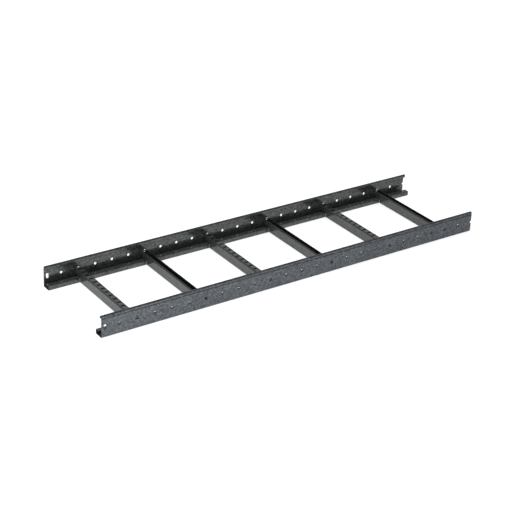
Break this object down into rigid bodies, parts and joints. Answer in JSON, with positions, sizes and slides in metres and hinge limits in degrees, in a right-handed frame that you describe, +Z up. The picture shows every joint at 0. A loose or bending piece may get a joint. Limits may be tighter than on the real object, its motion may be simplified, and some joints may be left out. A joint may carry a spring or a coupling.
{
  "type": "cable ladder section",
  "caption": "Straight steel cable ladder: two C-shaped side rails with a row of web holes, joined by slotted channel rungs set alternately flat side up and mouth up.",
  "frame": {"origin": "centre of the footprint, on the underside of the rails", "axes": "+X along the ladder from the slotted end to the plain end, +Y towards the left rail, +Z up out of the rungs' bed"},
  "size_m": [1.2, 0.305, 0.06],
  "materials": {
    "rail_galvanised": "dark hot-dip galvanised sheet with a fine mottled spangle, half gloss",
    "rung_galvanised": "dark hot-dip galvanised sheet with a fine mottled spangle, half gloss"
  },
  "bodies": {
    "root": {"side_rail_left": "rail_galvanised", "side_rail_right": "rail_galvanised", "rung_1": "rung_galvanised", "rung_2": "rung_galvanised", "rung_3": "rung_galvanised", "rung_4": "rung_galvanised", "rung_5": "rung_galvanised", "rung_6": "rung_galvanised"}
  },
  "joints": []
}
